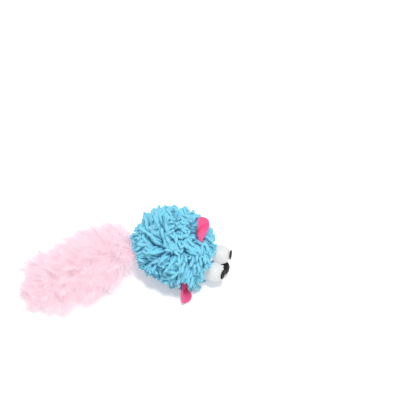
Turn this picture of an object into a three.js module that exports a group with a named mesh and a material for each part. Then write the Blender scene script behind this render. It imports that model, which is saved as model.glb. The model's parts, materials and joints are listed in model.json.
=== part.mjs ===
// Catnip mouse: a stuffed ball body in a cover of chenille noodle pile, with two foam ball eyes,
// a nose, two rolled felt ears and a feather tail that is tied along a string.
// Millimetres. The mouse looks along +X, its left side is +Y, and it lies on the floor, z = 0.
// It is rolled a little onto its right side, as a ball-shaped toy comes to rest.
import * as THREE from 'three';
import { mergeVertices } from 'three/addons/utils/BufferGeometryUtils.js';

// Gap between pieces that touch on the real toy
const clearance = 0.3;
const seamGap = 0.3;

// Body: the sewn cover, its pile and the flat patch that it lies on
const bodyCentreHeight = 28;
const coverRadius = 23.5;
const coverWall = 1.6;
const snoutRise = 4;
const snoutSpreadAngle = 0.5;
const restPatchRadius = 12.5;
const restPatchFade = 12;
const seamGrooveWidth = 2.2;
const seamThreadRadius = 0.4;
const seamThreadDepth = 0.4;

// Pile: one noodle is a strand of this length, set this far from the next
const noodleLength = 9.6;
const noodleSpacing = 3.3;
const noodleSeparation = 2.5;
const noodleRadius = 1.5;
const noodleRiseShare = 0.88;
const noodleLeanShare = 0.48;
const noodleBendShare = 0.5;
const noodleLeastShare = 0.88;
const noodleScatterShare = 0.24;
const noodleTrimShares = [1, 0.7, 0.45];
const noodleTestShares = [0.2, 0.4, 0.6, 0.8, 1];
const noodleAxisShares = [0.3, 0.5, 0.75, 1];
const noodleRingShares = [0.5, 1];
const noodleFatnessShares = [1.05, 0.8];
const underBellySlope = -0.35;
const underBellyLengthShare = 0.92;
const underBellyLeanShare = 0.5;
const faceGap = 0.7;

// Catnip pouch in the middle of the stuffing
const pouchLength = 26;
const pouchWidth = 18;
const pouchHeight = 8;
const pouchWall = 0.5;

// Face: two balls side by side, a nose below them
const eyeDiameter = 14.5;
const faceReach = 36.4;
const pupilDiameter = 7;
const pupilThickness = 0.7;
const eyeGluePadDiameter = 6;
const noseWidth = 10.4;
const noseHeight = 8;
const noseDepth = 7.2;
const noseDrop = 9.6;
const noseForward = 1.5;
const noseGlueWidth = 2;
const noseGlueDepth = 4.4;
const noseGlueHeight = 1.3;
const noseGlueGap = 0.24;

// Ears: felt petals, rolled along their length
const earLength = 18.5;
const earFlatWidth = 12.5;
const earRootWidth = 2.6;
const earRollRadius = 4.6;
const earThickness = 1.1;
const earStitchRadius = 2.25;
const earStitchThread = 0.35;
const earTabLength = 1.2;
const earSweepShare = 0.75;

// Tail: three plumes on a knotted string
const tailRootReach = 26.6;
const tailKnotRadius = 1.6;
const tailStringRadius = 0.9;
const tailJointKnotRadius = 1.3;
const tailBaseLength = 38.9;
const tailMidLength = 32.5;
const tailTipLength = 20;
const tailMidHeight = 16.5;
const tailTipHeight = 14;
const tailEndHeight = 10.5;
const plumeBaseHalfWidth = 24.5;
const plumeMidHalfWidth = 26.5;
const plumeTipHalfWidth = 22.5;
const plumeBaseTop = 14.5;
const plumeMidTop = 16.5;
const plumeTipTop = 13.5;
const plumeSink = 3;
const plumeNeckReach = 26;
const plumeGrooveReach = 6.8;
const plumeEndReach = 10.6;
const bindingLength = 2.6;
const bindingRadius = 2.4;
const tailAnchorRadius = 3;
const plumeFlatShare = 0.3;
const plumeGrooveTallShare = 0.8;
const bindingTurns = 3;
const bindingRiseShare = 0.3;
const bindingFallShare = 0.7;
const bindingDipShare = 0.25;

// Angles, in degrees
const faceYaw = -14;
const facePitch = 16;
const faceRoll = 22;
const faceDirection = { azimuth: 0, elevation: -16.5 };
const tailRootDirection = { azimuth: 180, elevation: -12 };
const tailBaseYaw = 209;
const tailMidYaw = 225;
const tailTipYaw = 222.5;
const tailSwingRange = { low: -50, high: 12 };
const tailLiftRange = { low: 0, high: 28 };

// Facets of the round pieces
const coverDetail = 13;
const liningDetail = 6;
const pouchDetail = 3;
const seamFacets = { across: 5, around: 48 };
const ballFacets = { around: 20, down: 14 };
const discFacets = { around: 18, rings: 4 };
const padFacets = { around: 14, rings: 3 };
const beadFacets = { around: 18, down: 12 };
const knotFacets = { around: 14, down: 10 };
const smallKnotFacets = { around: 12, down: 8 };
const stitchFacets = { across: 5, around: 16 };
const anchorFacets = 16;
const stringFacets = { around: 10, rings: 6 };
const plumeSides = 14;
const sweepSteps = 6;

// Colour and roughness of each material
const blue = { color: 0x6cc4ee, roughness: 0.95 };
const blueThread = { color: 0x4fa9d6, roughness: 0.8 };
const stuffingWhite = { color: 0xf4f4ee, roughness: 0.98 };
const pouchCloth = { color: 0xece6d6, roughness: 0.95 };
const catnipGreen = { color: 0x7c8a4a, roughness: 1 };
const foamWhite = { color: 0xf6f6f4, roughness: 0.6 };
const pupilBlack = { color: 0x101012, roughness: 0.3 };
const noseBlack = { color: 0x141416, roughness: 0.25 };
const glueGrey = { color: 0xdfe4e6, roughness: 0.4 };
const earPink = { color: 0xf2629a, roughness: 0.9 };
const earThreadPink = { color: 0xd8487e, roughness: 0.8 };
const stringPink = { color: 0xf3c6d8, roughness: 0.85 };
const bindingPink = { color: 0xf0b7cf, roughness: 0.8 };
const featherPink = { color: 0xfad7e6, roughness: 1 };

const degrees = Math.PI / 180;
const weldReach = 1e-4;
const sameDirection = 1e-5;
const azimuthSlack = 0.01;
const bodyCentre = new THREE.Vector3(0, 0, bodyCentreHeight);

// A unit vector from an azimuth about +Z and an elevation above the floor
function directionOf({ azimuth, elevation }) {
  const level = Math.cos(elevation * degrees);
  return new THREE.Vector3(
    level * Math.cos(azimuth * degrees),
    level * Math.sin(azimuth * degrees),
    Math.sin(elevation * degrees)
  );
}

// Welds a geometry's corners by place and turns its faces outwards
function closedSolid(geometry) {
  const bare = geometry.clone();
  bare.deleteAttribute('normal');
  bare.deleteAttribute('uv');
  const solid = mergeVertices(bare, weldReach);
  const index = solid.getIndex();
  const corner = [new THREE.Vector3(), new THREE.Vector3(), new THREE.Vector3()];
  const faces = [];
  let volume = 0;
  for (let i = 0; i < index.count; i += 3) {
    const face = [index.getX(i), index.getX(i + 1), index.getX(i + 2)];
    if (new Set(face).size < 3) continue;
    faces.push(face);
    corner.forEach((point, k) => point.fromBufferAttribute(solid.getAttribute('position'), face[k]));
    volume += corner[0].dot(corner[1].clone().cross(corner[2]));
  }
  solid.setIndex(faces.flatMap(([a, b, c]) => (volume > 0 ? [a, b, c] : [a, c, b])));
  return solid;
}

// Makes a geometry from points and triangles
function solidFrom(points, faces) {
  const geometry = new THREE.BufferGeometry();
  geometry.setAttribute('position', new THREE.Float32BufferAttribute(points.flatMap((p) => p.toArray()), 3));
  geometry.setIndex(faces.flat());
  return closedSolid(geometry);
}

const mouse = new THREE.Group();

function addPiece(parent, name, geometry, finish) {
  const mesh = new THREE.Mesh(geometry, new THREE.MeshStandardMaterial(finish));
  mesh.name = name;
  parent.add(mesh);
  return mesh;
}

// Half of a subdivided octahedron: unit directions, triangles, and its rim in order of azimuth.
// side is 1 for the half above the seam and -1 for the half below it.
function halfSphere(detail, side) {
  const source = new THREE.OctahedronGeometry(1, detail).getAttribute('position');
  const directions = [];
  const faces = [];
  const known = new Map();
  const indexOf = (v) => {
    const key = [v.x, v.y, v.z].map((value) => Math.round(value / sameDirection)).join();
    if (!known.has(key)) {
      known.set(key, directions.length);
      directions.push(v);
    }
    return known.get(key);
  };
  for (let i = 0; i < source.count; i += 3) {
    const corners = [0, 1, 2].map((k) => new THREE.Vector3().fromBufferAttribute(source, i + k));
    const middle = corners[0].z + corners[1].z + corners[2].z;
    if (middle * side > 0) faces.push(corners.map(indexOf));
  }
  const rim = directions.map((v, k) => k).filter((k) => Math.abs(directions[k].z) < sameDirection);
  const azimuth = (k) => (Math.atan2(directions[k].y, directions[k].x) / degrees + 360 + azimuthSlack) % 360;
  rim.sort((a, b) => azimuth(a) - azimuth(b));
  return { directions, faces, rim, azimuth };
}

// A bowl with an outer and an inner skin, joined by a strip round the seam.
// reach functions give each skin's distance from the body's centre.
function bowl({ side, outer, inner, strandOf }) {
  const points = [];
  const faces = [];
  const flip = (face) => [face[0], face[2], face[1]];
  const addSkin = ({ detail, reach, rimHeight }) => {
    const half = halfSphere(detail, side);
    const first = points.length;
    half.directions.forEach((dir, k) => {
      const point = bodyCentre.clone().addScaledVector(dir, reach(dir));
      if (half.rim.includes(k)) point.z = bodyCentreHeight + side * rimHeight;
      points.push(point);
    });
    const rim = half.rim.map((k) => ({ id: first + k, azimuth: half.azimuth(k) }));
    return { rim, skinFaces: half.faces.map((face) => face.map((k) => first + k)) };
  };
  const out = addSkin(outer);
  const back = addSkin(inner);
  back.skinFaces.forEach((face) => faces.push(flip(face)));

  let i = 0;
  let j = 0;
  const at = (rim, k) => rim[k % rim.length].id;
  const nextAzimuth = (rim, k) => (k + 1 < rim.length ? rim[k + 1].azimuth : 360);
  while (i < out.rim.length || j < back.rim.length) {
    const stepOuter = j >= back.rim.length
      || (i < out.rim.length && nextAzimuth(out.rim, i) <= nextAzimuth(back.rim, j));
    const face = stepOuter
      ? [at(out.rim, i), at(back.rim, j), at(out.rim, i + 1)]
      : [at(out.rim, i), at(back.rim, j), at(back.rim, j + 1)];
    faces.push(side > 0 ? face : flip(face));
    if (stepOuter) i += 1;
    else j += 1;
  }

  // A strand grows out of its face of the outer skin: two rings and a cap
  for (const face of out.skinFaces) {
    const strand = strandOf ? strandOf(face.map((k) => points[k])) : null;
    if (!strand) {
      faces.push(face);
      continue;
    }
    let ring = face;
    for (const ringPoints of strand) {
      const next = ringPoints.map((point) => points.push(point) - 1);
      for (let k = 0; k < 3; k += 1) {
        const m = (k + 1) % 3;
        faces.push([ring[k], ring[m], next[m]], [ring[k], next[m], next[k]]);
      }
      ring = next;
    }
    faces.push(ring);
  }
  return solidFrom(points, faces);
}

// The sewn fabric without its pile: a ball with a snout that the eyes are glued to
const snoutDirection = directionOf(faceDirection);
function fabricReach(dir) {
  const angle = dir.angleTo(snoutDirection);
  return coverRadius + snoutRise * Math.exp(-((angle / snoutSpreadAngle) ** 2));
}

// The cover's outside: under the belly the pile is pressed into a flat mat that lies on the floor
function coverReach(dir) {
  const reach = fabricReach(dir);
  if (dir.z >= 0) return reach;
  const floorReach = bodyCentreHeight / -dir.z;
  const footRadius = floorReach * Math.sqrt(1 - dir.z * dir.z);
  const open = THREE.MathUtils.smoothstep(footRadius, restPatchRadius, restPatchRadius + restPatchFade);
  return THREE.MathUtils.lerp(floorReach, reach, open);
}

// The face group: its origin is midway between the eyes, +X looks out of the face
const eyeRadius = eyeDiameter / 2;
const eyeOffset = eyeRadius + clearance / 2;
const face = new THREE.Group();
face.position.copy(bodyCentre).addScaledVector(snoutDirection, faceReach);
face.rotation.set(faceRoll * degrees, -facePitch * degrees, faceYaw * degrees, 'ZYX');
mouse.add(face);
face.updateMatrixWorld(true);

const sides = [
  {
    word: 'left',
    sign: 1,
    pupil: { yaw: 7, pitch: 5 },
    earRoot: { azimuth: -5, elevation: 35 },
    earGrowth: { azimuth: 101, elevation: 48.3 },
    earOpening: new THREE.Vector3(0.75, -0.45, 0.45),
    earRange: { low: -20, high: 20 },
  },
  {
    word: 'right',
    sign: -1,
    pupil: { yaw: 0, pitch: 0 },
    earRoot: { azimuth: -56.8, elevation: -33.3 },
    earGrowth: { azimuth: -72.4, elevation: -40 },
    earOpening: new THREE.Vector3(0.8, -0.2, 0.5),
    earRange: { low: -25, high: 8 },
  },
];

// Each ear's group: origin at the sewn root, +X along the ear, +Z out of the rolled-up side
for (const side of sides) {
  const root = directionOf(side.earRoot);
  const along = directionOf(side.earGrowth);
  const tilt = along.angleTo(root);
  const tabStand = (earTabLength / 2) * Math.cos(tilt) + (earRootWidth / 2) * Math.sin(tilt);
  const ringStand = (earStitchRadius + earStitchThread) * Math.sin(tilt) + earStitchThread * Math.cos(tilt);
  const stand = clearance + Math.max(tabStand, ringStand);
  const across = side.earOpening.clone().cross(along).normalize();
  const out = along.clone().cross(across);
  side.earGroup = new THREE.Group();
  side.earGroup.position.copy(bodyCentre).addScaledVector(root, coverReach(root) + stand);
  side.earGroup.quaternion.setFromRotationMatrix(new THREE.Matrix4().makeBasis(along, across, out));
  mouse.add(side.earGroup);
  side.earGroup.updateMatrixWorld(true);
  side.eyeCentre = face.localToWorld(new THREE.Vector3(0, side.sign * eyeOffset, 0));
}

// The tail's joints along the string
const tailRoot = bodyCentre.clone().addScaledVector(directionOf(tailRootDirection), tailRootReach);
const level = (yaw) => directionOf({ azimuth: yaw, elevation: 0 });
const tailMidJoint = tailRoot.clone().addScaledVector(level(tailBaseYaw), tailBaseLength).setZ(tailMidHeight);
const tailTipJoint = tailMidJoint.clone().addScaledVector(level(tailMidYaw), tailMidLength);
tailTipJoint.setZ(tailTipHeight);

// Plume outlines: half-widths as shares of the full one, at shares of the neck, groove or end
const neckPlaceShares = [0.27, 0.4, 0.55, 0.75, 1];
const neckWidthShares = [0.12, 0.24, 0.4, 0.68, 0.95];
const groovePlaceShares = [0.2, 0.4, 0.65, 1];
const grooveWidthShares = [0.14, 0.36, 0.64, 1];
const endPlaceShares = [0, 0.2, 0.5, 1];
const endWidthShares = [0.5, 0.78, 0.93, 1];

// The spaces that the noodles leave free: the face, the ears' sweep and the tail's sweep
const keepOuts = [];
for (const side of sides) {
  keepOuts.push({ from: side.eyeCentre, to: side.eyeCentre, radius: eyeRadius + faceGap });
  keepOuts.push({ from: side.eyeCentre, to: bodyCentre, radius: eyeGluePadDiameter / 2 });
  const earAt = side.earGroup.position;
  keepOuts.push({ from: earAt, to: earAt, radius: earStitchRadius + earStitchThread });
  for (const turn of [side.earRange.low, 0, side.earRange.high]) {
    const tip = new THREE.Vector3(earLength - earRollRadius, 0, 0).applyAxisAngle(
      new THREE.Vector3(0, 1, 0),
      turn * degrees
    );
    const middle = tip.clone().multiplyScalar(0.5);
    const root = new THREE.Vector3();
    const [rootAt, middleAt, tipAt] = [root, middle, tip].map((p) => side.earGroup.localToWorld(p));
    keepOuts.push({ from: rootAt, to: middleAt, radius: earRollRadius * earSweepShare });
    keepOuts.push({ from: middleAt, to: tipAt, radius: earRollRadius + earThickness });
  }
}
const noseAt = face.localToWorld(new THREE.Vector3(noseForward, 0, -noseDrop));
keepOuts.push({ from: noseAt, to: noseAt, radius: noseWidth / 2 + faceGap });
for (let i = 0; i <= sweepSteps; i += 1) {
  const swing = THREE.MathUtils.lerp(tailSwingRange.low, tailSwingRange.high, i / sweepSteps);
  for (const lift of [tailLiftRange.low, tailLiftRange.high / 2, tailLiftRange.high]) {
    const slope = Math.atan((tailMidHeight - tailRoot.z) / tailBaseLength) / degrees;
    const aim = directionOf({ azimuth: tailBaseYaw + swing, elevation: slope + lift });
    neckPlaceShares.forEach((share, k) => {
      const at = tailRoot.clone().addScaledVector(aim, share * plumeNeckReach);
      keepOuts.push({ from: at, to: at, radius: neckWidthShares[k] * plumeBaseHalfWidth });
      keepOuts.push({ from: tailRoot, to: at, radius: bindingRadius });
    });
  }
}

const nearest = new THREE.Vector3();
function isFree(point, radius) {
  if (point.z < radius) return false;
  return keepOuts.every(({ from, to, radius: reach }) => {
    new THREE.Line3(from, to).closestPointToPoint(point, true, nearest);
    return nearest.distanceTo(point) > reach + radius;
  });
}

// A number from 0 to 1 that depends only on its seed
const scatterTurns = 12.9898;
const scatterSize = 43758.5453;
const scatter = (seed) => {
  const wave = Math.sin(seed * scatterTurns) * scatterSize;
  return wave - Math.floor(wave);
};

// The way the pile leans: neighbours lean alike, so that no two noodles cross
const leanWaves = [
  { along: [0, 3.1, 2.3], start: 0, bias: 0 },
  { along: [2.9, 0, 2.7], start: 1, bias: 0 },
  { along: [3.3, -2.1, 0], start: 0, bias: -0.5 }
];
function lean(dir) {
  const flow = leanWaves.map(({ along, start, bias }) => (
    Math.sin(dir.dot(new THREE.Vector3(...along)) + start) + bias
  ));
  return new THREE.Vector3(...flow).projectOnPlane(dir).normalize();
}

// Chooses the faces that a noodle grows from, and gives its rings
const noodleRoots = [];
const noodleAxes = [];
const gapBetween = (axis, other) => Math.min(...axis.flatMap((p) => other.map((q) => p.distanceTo(q))));
function noodle(corners) {
  const root = corners[0].clone().add(corners[1]).add(corners[2]).divideScalar(3);
  const dir = root.clone().sub(bodyCentre).normalize();
  if (root.z < noodleRadius) return null;
  if (noodleRoots.some((other) => other.distanceTo(root) < noodleSpacing)) return null;
  const sideways = lean(dir);
  let full = noodleLength * (noodleLeastShare + noodleScatterShare * scatter(noodleRoots.length + 1));
  if (dir.z < underBellySlope) {
    const flatOut = new THREE.Vector3(dir.x, dir.y, 0).normalize();
    sideways.addScaledVector(flatOut, underBellyLeanShare).normalize();
    full *= underBellyLengthShare;
  }
  const normal = corners[1].clone().sub(corners[0]).cross(corners[2].clone().sub(corners[0])).normalize();
  for (const share of noodleTrimShares) {
    const length = full * share;
    const bend = root.clone().addScaledVector(dir, length * noodleBendShare);
    const tip = root.clone().addScaledVector(dir, length * noodleRiseShare);
    tip.addScaledVector(sideways, length * noodleLeanShare);
    if (dir.z < underBellySlope) tip.z = Math.max(tip.z, noodleRadius);
    const curve = new THREE.QuadraticBezierCurve3(root, bend, tip);
    const places = noodleTestShares.map((t) => curve.getPoint(t));
    if (!places.every((place) => isFree(place, noodleRadius))) continue;
    const axis = noodleAxisShares.map((t) => curve.getPoint(t));
    if (noodleAxes.some((other) => gapBetween(axis, other) < noodleSeparation)) continue;
    noodleRoots.push(root);
    noodleAxes.push(axis);
    return noodleRingShares.map((t, k) => {
      const turn = new THREE.Quaternion().setFromUnitVectors(normal, curve.getTangent(t));
      const middle = curve.getPoint(t);
      return corners.map((corner) => {
        const point = corner.clone().sub(root).applyQuaternion(turn);
        point.multiplyScalar(noodleFatnessShares[k]).add(middle);
        return point.setZ(Math.max(point.z, clearance));
      });
    });
  }
  return null;
}

const liningReach = (dir) => fabricReach(dir) - coverWall;
const coverInner = { detail: liningDetail, reach: liningReach, rimHeight: seamGap / 2 };
for (const [name, side] of [['cover_back', 1], ['cover_belly', -1]]) {
  const outer = { detail: coverDetail, reach: coverReach, rimHeight: seamGrooveWidth / 2 };
  addPiece(mouse, name, bowl({ side, outer, inner: coverInner, strandOf: noodle }), blue);
}
let leastNoodleGap = Infinity;
noodleAxes.forEach((axis, a) => noodleAxes.slice(a + 1).forEach((other) => {
  leastNoodleGap = Math.min(leastNoodleGap, gapBetween(axis, other));
}));
console.log(`noodles: ${noodleRoots.length}, least gap between two axes: ${leastNoodleGap} mm`);

// The thread that closes the seam, in the groove between the two panels
const seamRing = new THREE.TorusGeometry(coverRadius, seamThreadRadius, seamFacets.across, seamFacets.around);
const seamPoint = new THREE.Vector3();
for (let k = 0; k < seamRing.getAttribute('position').count; k += 1) {
  seamPoint.fromBufferAttribute(seamRing.getAttribute('position'), k);
  const flat = Math.hypot(seamPoint.x, seamPoint.y);
  const dir = new THREE.Vector3(seamPoint.x / flat, seamPoint.y / flat, 0);
  const ring = flat - coverRadius + fabricReach(dir) - seamThreadDepth - seamThreadRadius;
  seamRing.getAttribute('position').setXYZ(k, dir.x * ring, dir.y * ring, seamPoint.z + bodyCentreHeight);
}
addPiece(mouse, 'seam_thread', closedSolid(seamRing), blueThread);

// Two wads of stuffing with the pouch between them
const pouchReach = (grow) => (dir) => 1 / Math.hypot(
  dir.x / (pouchLength / 2 + grow),
  dir.y / (pouchWidth / 2 + grow),
  dir.z / (pouchHeight / 2 + grow)
);
for (const [name, side] of [['stuffing_upper', 1], ['stuffing_lower', -1]]) {
  const outer = {
    detail: liningDetail,
    reach: (dir) => liningReach(dir) - clearance,
    rimHeight: seamGap / 2,
  };
  const inner = { detail: pouchDetail, reach: pouchReach(clearance), rimHeight: seamGap / 2 };
  addPiece(mouse, name, bowl({ side, outer, inner }), stuffingWhite);
}
for (const [name, side] of [['pouch_upper', 1], ['pouch_lower', -1]]) {
  const outer = { detail: pouchDetail, reach: pouchReach(0), rimHeight: seamGap / 2 };
  const inner = { detail: pouchDetail, reach: pouchReach(-pouchWall), rimHeight: seamGap / 2 };
  addPiece(mouse, name, bowl({ side, outer, inner }), pouchCloth);
}
const fillShape = new THREE.OctahedronGeometry(1, pouchDetail);
const fillReach = pouchReach(-pouchWall - clearance);
const fillCorner = new THREE.Vector3();
for (let k = 0; k < fillShape.getAttribute('position').count; k += 1) {
  fillCorner.fromBufferAttribute(fillShape.getAttribute('position'), k).normalize();
  fillCorner.multiplyScalar(fillReach(fillCorner));
  fillShape.getAttribute('position').setXYZ(k, ...fillCorner);
}
const fill = addPiece(mouse, 'catnip_fill', closedSolid(fillShape), catnipGreen);
fill.position.copy(bodyCentre);

// Eyes: a foam ball, a domed black disc on its front, and the glue pad behind it
const arcPoints = (radius, angle, steps) => Array.from({ length: steps + 1 }, (_, k) => {
  const turn = angle * (k / steps);
  return new THREE.Vector2(radius * Math.sin(turn), radius * Math.cos(turn));
});
for (const side of sides) {
  const ball = addPiece(face, `eye_ball_${side.word}`,
    closedSolid(new THREE.SphereGeometry(eyeRadius, ballFacets.around, ballFacets.down)), foamWhite);
  ball.position.set(0, side.sign * eyeOffset, 0);

  const discInner = eyeRadius + clearance;
  const discOuter = discInner + pupilThickness;
  const discAngle = Math.asin(pupilDiameter / 2 / discOuter);
  const discProfile = arcPoints(discInner, discAngle, discFacets.rings)
    .concat(arcPoints(discOuter, discAngle, discFacets.rings).reverse());
  const disc = new THREE.LatheGeometry(discProfile, discFacets.around).rotateZ(-Math.PI / 2);
  const pupil = addPiece(face, `pupil_${side.word}`, closedSolid(disc), pupilBlack);
  pupil.position.copy(ball.position);
  pupil.rotation.set(0, -side.pupil.pitch * degrees, side.pupil.yaw * degrees, 'ZYX');

  // The pad stands on the fabric and cups the ball
  const inwards = bodyCentre.clone().sub(side.eyeCentre).normalize();
  const eyeDistance = side.eyeCentre.distanceTo(bodyCentre);
  const outwards = inwards.clone().negate();
  const seat = eyeDistance - fabricReach(outwards) - clearance;
  const cup = eyeRadius + clearance;
  const cupAngle = Math.asin(eyeGluePadDiameter / 2 / cup);
  const padProfile = [new THREE.Vector2(0, seat), new THREE.Vector2(eyeGluePadDiameter / 2, seat)]
    .concat(arcPoints(cup, cupAngle, padFacets.rings).reverse());
  const pad = addPiece(mouse, `eye_glue_${side.word}`,
    closedSolid(new THREE.LatheGeometry(padProfile, padFacets.around)), glueGrey);
  pad.position.copy(side.eyeCentre);
  pad.quaternion.setFromUnitVectors(new THREE.Vector3(0, 1, 0), inwards);
}

// Nose: a glossy black bead under the two balls, on a drop of glue in the notch between them
const noseShape = new THREE.SphereGeometry(1, beadFacets.around, beadFacets.down);
noseShape.scale(noseDepth / 2, noseWidth / 2, noseHeight / 2);
const nose = addPiece(face, 'nose', closedSolid(noseShape), noseBlack);
nose.position.set(noseForward, 0, -noseDrop);
const noseGlueShape = new THREE.SphereGeometry(1, smallKnotFacets.around, smallKnotFacets.down);
noseGlueShape.scale(noseGlueDepth / 2, noseGlueWidth / 2, noseGlueHeight / 2);
const noseGlue = addPiece(face, 'nose_glue', closedSolid(noseGlueShape), glueGrey);
noseGlue.position.set(noseForward / 2, 0, -noseDrop + (noseHeight + noseGlueHeight) / 2 + noseGlueGap);

// Ears: half-widths as shares of the flat width, at shares of the length
const earPlaceShares = [0, 0.14, 0.34, 0.56, 0.76, 0.9, 1];
const earHalfShares = [0, 0.12, 0.32, 0.46, 0.5, 0.38, 0.14];
const earColumns = 6;
function earPetal() {
  const points = [];
  const rows = earPlaceShares.length;
  for (const skin of [-1, 1]) {
    earPlaceShares.forEach((share, i) => {
      const half = earRootWidth / 2 + (earFlatWidth - earRootWidth) * earHalfShares[i];
      for (let j = 0; j <= earColumns; j += 1) {
        const turn = ((2 * j) / earColumns - 1) * (half / earRollRadius);
        const ring = earRollRadius + (skin * earThickness) / 2;
        const x = -earTabLength / 2 + share * (earLength + earTabLength / 2);
        points.push(new THREE.Vector3(x, ring * Math.sin(turn), earRollRadius - ring * Math.cos(turn)));
      }
    });
  }
  const columns = earColumns + 1;
  const id = (skin, i, j) => skin * rows * columns + i * columns + j;
  const faces = [];
  const quad = (a, b, c, d) => faces.push([a, b, c], [a, c, d]);
  for (let i = 0; i < rows - 1; i += 1) {
    for (let j = 0; j < earColumns; j += 1) {
      quad(id(1, i, j), id(1, i, j + 1), id(1, i + 1, j + 1), id(1, i + 1, j));
      quad(id(0, i, j), id(0, i + 1, j), id(0, i + 1, j + 1), id(0, i, j + 1));
    }
    quad(id(0, i, 0), id(1, i, 0), id(1, i + 1, 0), id(0, i + 1, 0));
    quad(id(0, i, earColumns), id(0, i + 1, earColumns), id(1, i + 1, earColumns), id(1, i, earColumns));
  }
  for (let j = 0; j < earColumns; j += 1) {
    quad(id(0, 0, j), id(0, 0, j + 1), id(1, 0, j + 1), id(1, 0, j));
    quad(id(0, rows - 1, j), id(1, rows - 1, j), id(1, rows - 1, j + 1), id(0, rows - 1, j + 1));
  }
  return solidFrom(points, faces);
}
for (const side of sides) {
  addPiece(side.earGroup, `ear_${side.word}`, earPetal(), earPink);
  const { across, around } = stitchFacets;
  const ring = new THREE.TorusGeometry(earStitchRadius, earStitchThread, across, around);
  ring.rotateY(Math.PI / 2);
  addPiece(side.earGroup, `ear_stitch_${side.word}`, closedSolid(ring), earThreadPink);
}

// Tail root: a stitched pad on the cover, and the knot that turns against it
const backwards = directionOf(tailRootDirection);
const anchorThickness = tailRootReach - tailKnotRadius - coverRadius - 2 * clearance;
const anchorShape = new THREE.CylinderGeometry(
  tailAnchorRadius,
  tailAnchorRadius,
  anchorThickness,
  anchorFacets
);
const anchor = addPiece(mouse, 'tail_anchor', closedSolid(anchorShape), blueThread);
anchor.position.copy(bodyCentre).addScaledVector(backwards, coverRadius + clearance + anchorThickness / 2);
anchor.quaternion.setFromUnitVectors(new THREE.Vector3(0, 1, 0), backwards);
const knotShape = new THREE.SphereGeometry(tailKnotRadius, knotFacets.around, knotFacets.down);
const knot = addPiece(mouse, 'tail_knot', closedSolid(knotShape), stringPink);
knot.position.copy(tailRoot);

// A string link along +X with a knot at its start, and its bore in the plume
function stringLink(length, startRadius, startAt) {
  const rodEnd = length - tailJointKnotRadius - clearance;
  const meets = startRadius > 0 ? Math.asin(tailStringRadius / startRadius) : 0;
  const start = startRadius > 0
    ? arcPoints(startRadius, Math.PI - meets, stringFacets.rings).map((p) => new THREE.Vector2(p.x, -p.y))
    : [new THREE.Vector2(0, startAt), new THREE.Vector2(tailStringRadius, startAt)];
  const profile = start.concat([new THREE.Vector2(tailStringRadius, rodEnd), new THREE.Vector2(0, rodEnd)]);
  return closedSolid(new THREE.LatheGeometry(profile, stringFacets.around).rotateZ(-Math.PI / 2));
}

// One plume along local +X round its string. stations hold a place and a share of the full width.
// A groove between two plumes is a wedge of full height, because they bend only to the sides.
function plume({ length, startHeight, endHeight, halfWidth, top, stations }) {
  const boreRadius = tailStringRadius + clearance;
  const points = [];
  for (const { place, share, tall } of stations) {
    const drop = ((endHeight - startHeight) * place) / length;
    const axisHeight = startHeight + drop;
    const fullDepth = axisHeight + plumeSink;
    for (let k = 0; k < plumeSides; k += 1) {
      const turn = (2 * Math.PI * k) / plumeSides;
      const full = Math.sin(turn) > 0 ? top : fullDepth;
      const bulk = tall
        ? full * THREE.MathUtils.lerp(plumeGrooveTallShare, 1, share)
        : Math.min(share * halfWidth, full * THREE.MathUtils.lerp(plumeFlatShare, 1, share));
      const high = bulk * Math.sin(turn);
      const y = share * halfWidth * Math.cos(turn);
      points.push(new THREE.Vector3(place, y, Math.max(drop + high, -startHeight)));
    }
    for (let k = 0; k < plumeSides; k += 1) {
      const turn = (2 * Math.PI * k) / plumeSides;
      points.push(new THREE.Vector3(place, boreRadius * Math.cos(turn), drop + boreRadius * Math.sin(turn)));
    }
  }
  const id = (i, skin, k) => (2 * i + skin) * plumeSides + (k % plumeSides);
  const faces = [];
  const quad = (a, b, c, d) => faces.push([a, b, c], [a, c, d]);
  for (let k = 0; k < plumeSides; k += 1) {
    for (let i = 0; i < stations.length - 1; i += 1) {
      quad(id(i, 0, k), id(i + 1, 0, k), id(i + 1, 0, k + 1), id(i, 0, k + 1));
      quad(id(i, 1, k), id(i, 1, k + 1), id(i + 1, 1, k + 1), id(i + 1, 1, k));
    }
    const last = stations.length - 1;
    quad(id(0, 0, k), id(0, 0, k + 1), id(0, 1, k + 1), id(0, 1, k));
    quad(id(last, 0, k), id(last, 1, k), id(last, 1, k + 1), id(last, 0, k + 1));
  }
  return solidFrom(points, faces);
}
const grooveIn = () => groovePlaceShares.map((share, k) => (
  { place: share * plumeGrooveReach, share: grooveWidthShares[k], tall: true }
));
const mirrored = (length) => ({ place, share, tall }) => ({ place: length - place, share, tall });
const grooveOut = (length) => grooveIn().reverse().map(mirrored(length));

const plumeEnd = tailTipLength - tailJointKnotRadius - clearance;
const plumes = [
  {
    word: 'base',
    at: tailRoot,
    yaw: tailBaseYaw,
    length: tailBaseLength,
    heights: [tailRoot.z, tailMidHeight],
    halfWidth: plumeBaseHalfWidth,
    top: plumeBaseTop,
    stations: neckPlaceShares
      .map((share, k) => ({ place: share * plumeNeckReach, share: neckWidthShares[k] }))
      .concat(grooveOut(tailBaseLength)),
  },
  {
    word: 'mid',
    at: tailMidJoint,
    yaw: tailMidYaw,
    length: tailMidLength,
    heights: [tailMidHeight, tailTipHeight],
    halfWidth: plumeMidHalfWidth,
    top: plumeMidTop,
    stations: grooveIn().concat(grooveOut(tailMidLength)),
  },
  {
    word: 'tip',
    at: tailTipJoint,
    yaw: tailTipYaw,
    length: tailTipLength,
    heights: [tailTipHeight, tailEndHeight],
    halfWidth: plumeTipHalfWidth,
    top: plumeTipTop,
    stations: grooveIn().concat(endPlaceShares
      .map((share, k) => ({ place: plumeEnd - share * plumeEndReach, share: endWidthShares[k] }))
      .reverse()),
  },
];
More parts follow.
